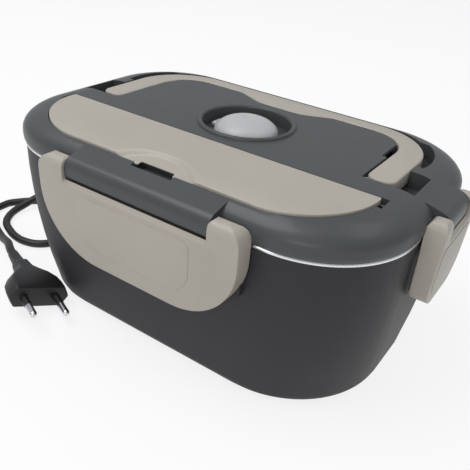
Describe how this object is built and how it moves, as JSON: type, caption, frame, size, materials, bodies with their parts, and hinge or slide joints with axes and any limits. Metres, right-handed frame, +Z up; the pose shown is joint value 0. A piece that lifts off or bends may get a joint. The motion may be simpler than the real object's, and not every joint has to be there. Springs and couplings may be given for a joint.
{
  "type": "electric lunch box",
  "caption": "Electric lunch box: heated oval-cornered housing, lift-out steel container, lid with two latches, cutlery cover, folding carry handle and steam vent, and a detachable cord.",
  "frame": {"origin": "middle of the space that the lunch box and its two latches take up, on the table under the feet; the cord is left out", "axes": "+X along the length, away from the power inlet; +Y to the back, away from the cutlery cover; +Z up"},
  "size_m": [0.31, 0.263, 0.1114],
  "materials": {
    "housing_plastic": "fine satin moulded plastic, charcoal grey",
    "lid_plastic": "fine satin moulded plastic, charcoal grey",
    "taupe_plastic": "satin moulded plastic, warm grey",
    "liner_plastic": "moulded plastic, dark grey",
    "steel": "brushed stainless steel",
    "plated_steel": "bright plated steel",
    "aluminium": "bare aluminium",
    "ceramic": "off-white ceramic",
    "silicone": "translucent white silicone",
    "rubber": "black rubber",
    "cord_black": "black flexible PVC",
    "black_plastic": "black moulded plastic",
    "lead_red": "red silicone lead insulation",
    "lamp_red": "red translucent lens"
  },
  "bodies": {
    "housing": {"outer_housing": "housing_plastic", "inner_liner": "liner_plastic", "heating_plate": "aluminium", "ptc_heater": "ceramic", "heater_bracket": "plated_steel", "bracket_screws": "plated_steel", "thermostat": "plated_steel", "thermal_fuse": "plated_steel", "lead_wires": "lead_red", "base_cover": "housing_plastic", "base_screws": "plated_steel", "rubber_feet": "rubber", "power_inlet": "black_plastic", "inlet_pins": "plated_steel", "indicator_lamp": "lamp_red"},
    "container": {"steel_container": "steel"},
    "lid": {"lid_shell": "lid_plastic", "lid_inner_panel": "liner_plastic", "lid_gasket": "silicone", "latch_pins": "plated_steel", "handle_pins": "plated_steel"},
    "cutlery_cover": {"cutlery_cover": "taupe_plastic", "cover_pins": "black_plastic"},
    "carry_handle": {"handle": "taupe_plastic"},
    "vent": {"vent_plug": "silicone"},
    "front_latch": {"front_latch": "taupe_plastic"},
    "right_latch": {"right_latch": "taupe_plastic"},
    "cord_set": {"cord_connector": "cord_black", "connector_relief": "cord_black", "cord_near": "cord_black", "cord_coil": "cord_black", "cord_far": "cord_black", "plug_relief": "cord_black", "plug_body": "cord_black", "plug_pins": "plated_steel"}
  },
  "joints": [
    {"name": "container_lift", "type": "slide", "parent": "housing", "child": "container", "axis": [0, 0, 1], "range_m": [0, 0.1]},
    {"name": "lid_lift", "type": "slide", "parent": "container", "child": "lid", "axis": [0, 0, 1], "range_m": [0, 0.08]},
    {"name": "cover_hinge", "type": "hinge", "parent": "lid", "child": "cutlery_cover", "pos_m": [-0.00505, -0.02415, 0.1056], "axis": [-1, 0, 0], "range_deg": [0, 95]},
    {"name": "handle_swing", "type": "hinge", "parent": "lid", "child": "carry_handle", "pos_m": [-0.00505, -0.00045, 0.104], "axis": [1, 0, 0], "range_deg": [0, 90]},
    {"name": "vent_lift", "type": "slide", "parent": "lid", "child": "vent", "axis": [0, 0, 1], "range_m": [0, 0.012]},
    {"name": "front_latch_hinge", "type": "hinge", "parent": "lid", "child": "front_latch", "pos_m": [-0.00505, -0.07645, 0.097], "axis": [-1, 0, 0], "range_deg": [0, 110]},
    {"name": "right_latch_hinge", "type": "hinge", "parent": "lid", "child": "right_latch", "pos_m": [0.11495, 0.00955, 0.097], "axis": [0, -1, 0], "range_deg": [0, 110]},
    {"name": "connector_pull", "type": "slide", "parent": "housing", "child": "cord_set", "axis": [-1, 0, 0], "range_m": [0, 0.02]}
  ]
}
